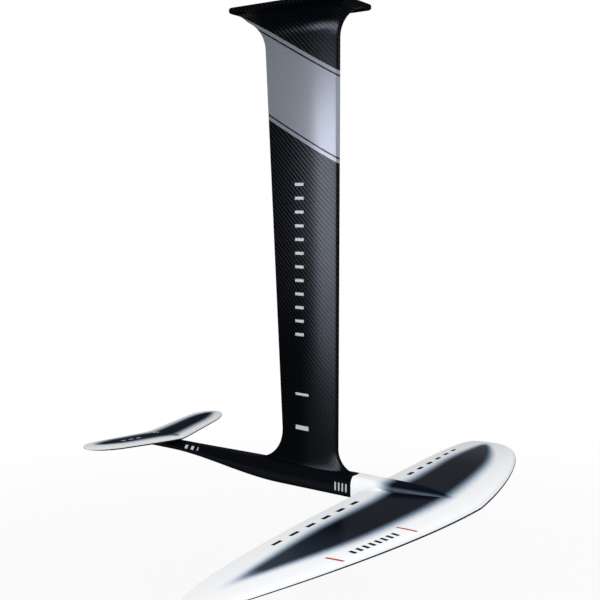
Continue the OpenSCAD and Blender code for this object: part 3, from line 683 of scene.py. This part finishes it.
def barrelPoint(k, half, top, bottom, bent):
    n = barrel["cornerSteps"]
    quarter, i = divmod(k, n + 1)
    a = math.pi / 2 * (quarter + i / n)
    wide = min(barrel["shoulder"][0], 0.8 * half)
    deep = min(barrel["shoulder"][1], 0.45 * (top - bottom))
    low = min(barrel["belly"], 0.8 * half, 0.45 * (top - bottom))
    ca, sa = math.cos(a), math.sin(a)
    side = 1 if quarter in (0, 3) else -1
    if quarter < 2:
        ca, sa = math.copysign(abs(ca) ** bent, ca), abs(sa) ** bent
        return side * (half - wide) + wide * ca, top - deep + deep * sa
    return side * (half - low) + low * ca, bottom + low + low * sa


def bellyShare(x):
    return easeStep((fuselageRun["footBack"] - x) / (fuselageRun["footBack"] - fuselageRun["bellyEnd"]))


def fuselagePlace(u, w):
    x = fuselageRun["end"] + (fuselageRun["seam"] - fuselageRun["end"]) * w
    share = bellyShare(x)
    half = (barrel["front"] + (barrel["tail"] - barrel["front"]) * share) / 2
    bottom = bellyZ + (barrel["frontDeep"] - barrel["tailDeep"]) * share
    y, z = barrelPoint(int(round(u * barrelCount)) % barrelCount, half, deckZ, bottom, barrel["chamfer"])
    return Vector((x, y, z)), (u, w)


tongue = {"length": 58 * mm, "wide": 22 * mm, "thick": 17 * mm, "cover": 8.5 * mm}
fastener = {"washer": 7.42 * mm, "cup": 4.2 * mm, "clear": 2 * mm, "over": 30 * mm,
            "mast": ["mast_bolt_front", "mast_bolt_middle", "mast_bolt_rear"],
            "wing": ["front_wing_bolt_front", "front_wing_bolt_rear"],
            "tail": ["tail_screw_front", "tail_screw_rear"]}


# round seats for the washers of one joint, as deep as the heights say
def sinkWashers(piece, joint, low, high):
    spots = [(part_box(name)[0].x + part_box(name)[1].x) / 2 for name in fastener[joint]]
    carve(piece, [rodCutter(x, low, high, fastener["washer"]) for x in spots])


# the bar, with a tongue drawn out of its front face for the neck
def buildFuselage():
    bm = wrappedSheet(barrelCount, fuselageRun["steps"], fuselagePlace)
    nose = max(bm.faces, key=lambda f: f.calc_center_median().x)
    root = bmesh.ops.extrude_face_region(bm, geom=[nose])["geom"]
    rim = [v for v in root if isinstance(v, bmesh.types.BMVert)]
    bmesh.ops.delete(bm, geom=[nose], context="FACES_ONLY")
    middle = deckZ - tongue["cover"] - tongue["thick"] / 2
    for v in rim:
        v.co.y = max(-tongue["wide"] / 2, min(tongue["wide"] / 2, v.co.y))
        v.co.z = max(middle - tongue["thick"] / 2, min(middle + tongue["thick"] / 2, v.co.z))
    tip = [f for f in root if isinstance(f, bmesh.types.BMFace)]
    ahead = bmesh.ops.extrude_face_region(bm, geom=tip)["geom"]
    bmesh.ops.delete(bm, geom=tip, context="FACES_ONLY")
    bmesh.ops.translate(bm, verts=[v for v in ahead if isinstance(v, bmesh.types.BMVert)],
                        vec=(tongue["length"], 0, 0))
    weld(bm)
    piece = pieceFrom(bm, "fuselageBar")
    sinkWashers(piece, "mast", bellyZ - fastener["clear"], bellyZ + fastener["cup"])
    finishPiece(piece, fuselageBlack, "foil", ["fuselage"])
    return piece


fuselageBar = buildFuselage()


# neck of the front wing, from the seam to the point of its ridge

neck = {"seam": 107.2 * mm, "level": 165 * mm, "ridge": 107 * mm, "fall": 7.28 * mm, "point": 0.6 * mm,
        "bend": 5.25, "keel": 2 * mm, "steps": 110, "rounded": 60 * mm, "wingZ": deckZ - 14 * mm,
        "sprayFrom": 0.146, "sprayFull": 0.179, "sprayEnd": 0.256, "sprayGone": 0.284, "shiver": 0.006,
        "thin": 0.088, "crest": 0.2375, "flank": (0.45, 0.8), "coat": 0.014, "coatRough": 0.16,
        "fillet": 9 * mm, "climb": 0.45, "hollow": 2.2, "filletFrom": 140 * mm, "filletOver": 35 * mm,
        "filletEnd": 0.1}


def neckForm(x):
    share = clamp01((x - neck["level"]) / neck["ridge"])
    half = max(neck["point"], barrel["front"] / 2 * (1 - share ** 2))
    return share, half, deckZ - neck["fall"] * share ** neck["bend"]


# height of the soft fillet that leads from the wing up to the neck's rear, gone along the ridge
def neckFillet(x, y, z, s):
    half, top = neckForm(x)[1:]
    climb = neck["climb"] * (1 - easeStep((x - neck["filletFrom"]) / neck["filletOver"]))
    out = clamp01((abs(y) - half) / neck["fillet"])
    return max(0.0, top - z) * climb * (1 - out) ** neck["hollow"] * easeStep((1 - s) / neck["filletEnd"])


def neckPlace(u, w):
    x = neck["seam"] + (neck["level"] + neck["ridge"] - neck["seam"]) * w
    share, half, top = neckForm(x)
    bottom = bellyZ + (neck["wingZ"] - neck["keel"] - bellyZ) * easeStep(share)
    bent = barrel["chamfer"] + (1 - barrel["chamfer"]) * easeStep((x - neck["seam"]) / neck["rounded"])
    y, z = barrelPoint(int(round(u * barrelCount)) % barrelCount, half, top, bottom, bent)
    return Vector((x, y, z)), (u, w)


def neckPaint():
    material, tree, shader = newTree("neckSpray")
    coords = objectCoords(tree)
    x = mathNode(tree, "ADD", axisOf(tree, coords, "X"), sprayGrain(tree, coords, neck["shiver"]))
    dark = mathNode(tree, "MULTIPLY", stepNode(tree, x, neck["sprayFrom"], neck["sprayFull"]),
                    oneMinus(tree, stepNode(tree, x, neck["sprayEnd"], neck["sprayGone"])))
    # the ridge's flanks are coloured a little lighter than its crest
    around = mathNode(tree, "SUBTRACT", chordAndSpan(tree)[0], neck["crest"])
    lean = mathNode(tree, "DIVIDE", mathNode(tree, "ABSOLUTE", around), neck["crest"])
    flank = mathNode(tree, "MULTIPLY", stepNode(tree, lean, *neck["flank"]), neck["thin"])
    dark = mathNode(tree, "MULTIPLY", dark, oneMinus(tree, flank))
    tree.links.new(sprayColour(tree, dark), shader.inputs["Base Color"])
    sprayGloss(tree, shader, coords, neck["coat"], neck["coatRough"])
    return material


def buildNeck():
    piece = pieceFrom(wrappedSheet(barrelCount, neck["steps"], neckPlace), "wingNeck")
    sinkWashers(piece, "wing", bellyZ - fastener["clear"], bellyZ + fastener["cup"])
    finishPiece(piece, neckPaint(), "foil", ["front_wing_neck"])
    return piece


wingNeck = buildNeck()


# wings: an upper and a lower skin each, split on the chord plane

frontWing = {"half": 453 * mm, "frontX": 315 * mm, "backX": 135 * mm, "chord": 180 * mm, "thick": 12 * mm,
             "camber": 0.4 * mm, "level": deckZ - 14 * mm, "droop": 30 * mm, "even": 30 * mm, "mid": 90 * mm,
             "tip": 40 * mm, "backSweep": 16 * mm, "edge": 1.2 * mm, "wall": 1.6 * mm, "bond": 0.15 * mm,
             "tipFrom": 0.85, "tipFront": 0.2, "last": 0.9995, "around": 44, "along": 200, "fillet": True}
tailWing = {"half": 169 * mm, "frontX": -250 * mm, "backX": -337 * mm, "chord": 87 * mm, "thick": 8 * mm,
            "camber": 0.0, "level": deckZ + 4.5 * mm, "rise": 10.5 * mm, "kink": 0.12, "frontSweep": 32 * mm,
            "backSweep": 10 * mm, "edge": 1.0 * mm, "wall": 1.2 * mm, "bond": 0.15 * mm, "tipFrom": 0.7,
            "tipFront": 0.42, "last": 0.9995, "around": 40, "along": 120}
hollowEnd = 0.9  # skins are solid behind this share of the chord


def frontWingPlan(e):
    w = frontWing
    tipChord = w["chord"] - w["even"] - w["mid"] - w["tip"] + w["backSweep"]
    arc = roundEnd((e - w["tipFrom"]) / (1 - w["tipFrom"]))
    front = w["frontX"] - w["even"] * e - w["mid"] * e ** 2 - w["tip"] * e ** 5 - tipChord * w["tipFront"] * arc
    back = w["backX"] - w["backSweep"] * e ** 3 + tipChord * (1 - w["tipFront"]) * arc
    return front, back, w["level"] - w["droop"] * e ** 4


def tailWingPlan(e):
    w = tailWing
    tipChord = w["chord"] - w["frontSweep"] + w["backSweep"]
    arc = roundEnd((e - w["tipFrom"]) / (1 - w["tipFrom"]))
    front = w["frontX"] - w["frontSweep"] * e - tipChord * w["tipFront"] * arc
    back = w["backX"] - w["backSweep"] * e + tipChord * (1 - w["tipFront"]) * arc
    return front, back, w["level"] + w["rise"] * (math.hypot(e, w["kink"]) - w["kink"])


# rows crowd at the root, under the neck, and at the tips
def spanShare(w):
    t = abs(2 * w - 1)
    root, rows = 0.08, 0.25
    e = root * t / rows if t < rows else root + (1 - root) * math.sin(math.pi / 2 * (t - rows) / (1 - rows))
    return math.copysign(e, w - 0.5)


def wingSkin(wing, plan, side, name):
    def place(u, w):
        e = spanShare(w) * wing["last"]
        front, back, level = plan(abs(e))
        share = (front - back) / wing["chord"]
        s = crowdEnds(2 * u if u <= 0.5 else 2 - 2 * u)
        bow = side * wing["camber"] * 4 * s * (1 - s)
        lift = share * (wing["thick"] * foilHalf(s) + bow) + wing["edge"] / 2 * s
        if u > 0.5:
            lift = max(0.0, lift - wing["wall"]) if s < hollowEnd else 0.0
        x, y, z = front - (front - back) * s, e * wing["half"], level + side * (wing["bond"] / 2 + lift)
        if "fillet" in wing and side > 0 and u <= 0.5:
            z += neckFillet(x, y, z, s)
        return Vector((x, y, z)), (s, (e + 1) / 2)

    return pieceFrom(wrappedSheet(2 * wing["around"], wing["along"], place), name)


upperWing = wingSkin(frontWing, frontWingPlan, 1, "frontWingUpper")
finishPiece(upperWing, wingPaint, "foil", ["front_wing_upper_skin"])
lowerWing = wingSkin(frontWing, frontWingPlan, -1, "frontWingLower")
finishPiece(lowerWing, undersideCarbon, "foil", ["front_wing_lower_skin"])

upperTail = wingSkin(tailWing, tailWingPlan, 1, "tailWingUpper")
sinkWashers(upperTail, "tail", deckZ - fastener["clear"], deckZ + fastener["over"])
finishPiece(upperTail, tailPaint, "foil", ["tail_wing_upper_skin"])
lowerTail = wingSkin(tailWing, tailWingPlan, -1, "tailWingLower")
finishPiece(lowerTail, undersideCarbon, "foil", ["tail_wing_lower_skin"])


# base plate with four slots, their lands sunk in the underside

plate = {"length": 200 * mm, "wide": 112 * mm, "thick": 7.5 * mm, "corner": 12 * mm, "edge": 2.4 * mm,
         "spanX": 165 * mm, "spanY": 90 * mm, "slotLong": 18 * mm, "slotWide": 8.5 * mm, "land": 4 * mm,
         "landDeep": 1.5 * mm, "landEdge": 0.05 * mm, "arcSteps": 12, "sharpDeg": 50}


def roundedSpline(curve, cx, cy, length, wide, radius):
    spline = curve.splines.new("POLY")
    n = plate["arcSteps"]
    spline.points.add(4 * (n + 1) - 1)
    for k, point in enumerate(spline.points):
        quarter, i = divmod(k, n + 1)
        a = math.pi / 2 * (quarter + i / n)
        sx, sy = ((1, 1), (-1, 1), (-1, -1), (1, -1))[quarter]
        point.co = (cx + sx * (length / 2 - radius) + radius * math.cos(a),
                    cy + sy * (wide / 2 - radius) + radius * math.sin(a), 0, 1)
    spline.use_cyclic_u = True


def slabFrom(outlines, name, thick, edge, level):
    curve = bpy.data.curves.new(name, "CURVE")
    curve.dimensions = "2D"
    curve.fill_mode = "BOTH"
    curve.extrude = thick / 2 - edge
    curve.bevel_depth = edge
    curve.bevel_resolution = 3
    curve.offset = -edge
    for outline in outlines:
        roundedSpline(curve, *outline)
    holder = bpy.data.objects.new(name, curve)
    scene.collection.objects.link(holder)
    bpy.context.view_layer.update()
    mesh = bpy.data.meshes.new_from_object(holder.evaluated_get(bpy.context.evaluated_depsgraph_get()))
    bpy.data.objects.remove(holder)
    mesh.transform(Matrix.Translation((0, 0, level)))
    bm = bmesh.new()
    bm.from_mesh(mesh)
    bpy.data.meshes.remove(mesh)
    weld(bm)
    return pieceFrom(bm, name)


def buildPlate():
    spots = [(sx * plate["spanX"] / 2, sy * plate["spanY"] / 2) for sx in (-1, 1) for sy in (-1, 1)]
    outlines = [(0, 0, plate["length"], plate["wide"], plate["corner"])]
    outlines += [(x, y, plate["slotLong"], plate["slotWide"], plate["slotWide"] / 2) for x, y in spots]
    piece = slabFrom(outlines, "basePlate", plate["thick"], plate["edge"], -plate["thick"] / 2)
    grow = 2 * plate["land"]
    wide = plate["slotWide"] + grow
    lands = [(x, y, plate["slotLong"] + grow, wide, wide / 2) for x, y in spots]
    deep = 2 * plate["landDeep"]
    carve(piece, [slabFrom([land], "cutter", deep, plate["landEdge"], -plate["thick"]) for land in lands])
    finishPiece(piece, plateCarbon, "foil", ["base_plate"], plate["sharpDeg"])


buildPlate()


# nodes that stay as they are get their finish
nodeFinish = {"steel": ["mast_bolt_front", "mast_bolt_middle", "mast_bolt_rear", "mast_washers",
                        "front_wing_bolt_front", "front_wing_bolt_rear", "front_wing_washers",
                        "tail_screw_front", "tail_screw_rear", "tail_washers"],
              "brass": ["mast_inserts", "tongue_inserts", "tail_inserts"],
              "foam": ["mast_core_front", "mast_core_rear", "front_wing_core_port", "front_wing_core_starboard",
                       "tail_wing_core_port", "tail_wing_core_starboard"],
              "spar": ["mast_spar"]}
for key, material in (("steel", steel), ("brass", brass), ("foam", foam), ("spar", plateCarbon)):
    for name in nodeFinish[key]:
        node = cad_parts[name]
        if node.material_slots:
            node.material_slots[0].material = material
        else:
            node.data.materials.append(material)
print("node finishes set")


# studio: pale floor that fades to white, soft lamps, camera at the photograph's angle

studio = {"floorZ": -1.15, "floorRadius": 3.0, "ambient": 0.48, "floorColour": (0.80, 0.80, 0.80, 1),
          "floorGlow": (0.88, 0.12), "floorFade": (1.2, 2.4), "sheen": (0.76, 0.82, 1.0)}


# camera, mirror and see-through rays meet the white background, all others the plain light
def backgroundRays(tree):
    rays = addNode(tree, "ShaderNodeLightPath").outputs
    mirrored = mathNode(tree, "MAXIMUM", rays["Is Glossy Ray"], rays["Is Transmission Ray"])
    return mathNode(tree, "MAXIMUM", rays["Is Camera Ray"], mirrored)


def buildFloor():
    bm = bmesh.new()
    bmesh.ops.create_circle(bm, cap_ends=True, segments=96, radius=studio["floorRadius"],
                            matrix=Matrix.Translation((0, 0, studio["floorZ"])))
    floor = pieceFrom(bm, "studioFloor")
    material, tree, shader = newTree("paleFloor")
    setShader(shader, rough=0.9, specular=0.0)
    shader.inputs["Base Color"].default_value = studio["floorColour"]
    glow = addNode(tree, "ShaderNodeEmission", {"Color": (1, 1, 1, 1), "Strength": 1.0})
    away = addNode(tree, "ShaderNodeVectorMath", operation="LENGTH")
    tree.links.new(objectCoords(tree), away.inputs[0])
    fade = stepNode(tree, away.outputs["Value"], *studio["floorFade"])
    near, gain = studio["floorGlow"]
    seen = mathNode(tree, "MULTIPLY_ADD", fade, gain, near)
    mix = addNode(tree, "ShaderNodeMixShader")
    tree.links.new(mathNode(tree, "MULTIPLY", seen, backgroundRays(tree)), mix.inputs["Fac"])
    tree.links.new(shader.outputs[0], mix.inputs[1])
    tree.links.new(glow.outputs[0], mix.inputs[2])
    # seen from below the floor is clear, so the underside can be looked at
    below = addNode(tree, "ShaderNodeMixShader")
    tree.links.new(addNode(tree, "ShaderNodeNewGeometry").outputs["Backfacing"], below.inputs["Fac"])
    tree.links.new(mix.outputs[0], below.inputs[1])
    tree.links.new(addNode(tree, "ShaderNodeBsdfTransparent").outputs[0], below.inputs[2])
    tree.links.new(below.outputs[0], tree.nodes["Material Output"].inputs["Surface"])
    floor.data.materials.append(material)


def buildWorld():
    world = bpy.data.worlds.new("studioWorld")
    world.use_nodes = True
    scene.world = world
    tree = world.node_tree
    back = tree.nodes["Background"]
    level = mathNode(tree, "MULTIPLY_ADD", backgroundRays(tree), 1.0 - studio["ambient"], studio["ambient"])
    tree.links.new(level, back.inputs["Strength"])
    back.inputs["Color"].default_value = (1, 1, 1, 1)


def softLamp(name, spot, target, size, power):
    lamp = bpy.data.lights.new(name, "AREA")
    lamp.shape = "RECTANGLE"
    lamp.size, lamp.size_y = size
    lamp.energy = power
    holder = bpy.data.objects.new(name, lamp)
    scene.collection.objects.link(holder)
    holder.location = spot
    holder.rotation_euler = (Vector(target) - Vector(spot)).to_track_quat("-Z", "Y").to_euler()
    holder.visible_camera = False
    return holder


# a cool card that shows only as a sheen on the pieces it is meant for
def sheenCard(name, spot, size, power, takers):
    card = softLamp(name, spot, (spot[0], 0, spot[2]), size, power)
    card.data.color = studio["sheen"]
    card.visible_diffuse = False
    group = bpy.data.collections.new(name)
    for piece in takers:
        group.objects.link(piece)
    card.light_linking.receiver_collection = group


buildFloor()
buildWorld()
softLamp("sideLamp", (-0.60, -2.3, -0.22), (0.02, 0, -0.28), (1.3, 0.7), 18)
softLamp("frontLamp", (1.6, -0.5, 0.2), (0.15, 0, -0.7), (1.3, 1.3), 32.5)
sheenCard("sheenHigh", (-0.34, -2.3, -0.23), (2.26, 0.72), 415, [*mastShells, wingNeck])
sheenCard("sheenLow", (-0.34, -2.3, -0.765), (2.26, 0.35), 118, [*mastShells, wingNeck])
sheenCard("sheenSide", (-1.75, -2.3, -0.2), (0.9, 0.6), 24, mastShells)
sheenCard("sheenFlank", (-0.75, -0.9, -1.03), (1.1, 0.23), 2.9, [fuselageBar])

photoCamera = {"spot": (0.80237, -1.17399, -0.30619), "sensor": 36, "lens": 53.944, "tilt": 84.086,
               "turn": 34.314}
camera = bpy.data.objects.new("photoCamera", bpy.data.cameras.new("photoCamera"))
camera.data.sensor_width = photoCamera["sensor"]
camera.data.lens = photoCamera["lens"]
camera.location = photoCamera["spot"]
camera.rotation_euler = (math.radians(photoCamera["tilt"]), 0, math.radians(photoCamera["turn"]))
scene.collection.objects.link(camera)
scene.camera = camera
scene.view_settings.view_transform = "Standard"
print("studio ready")
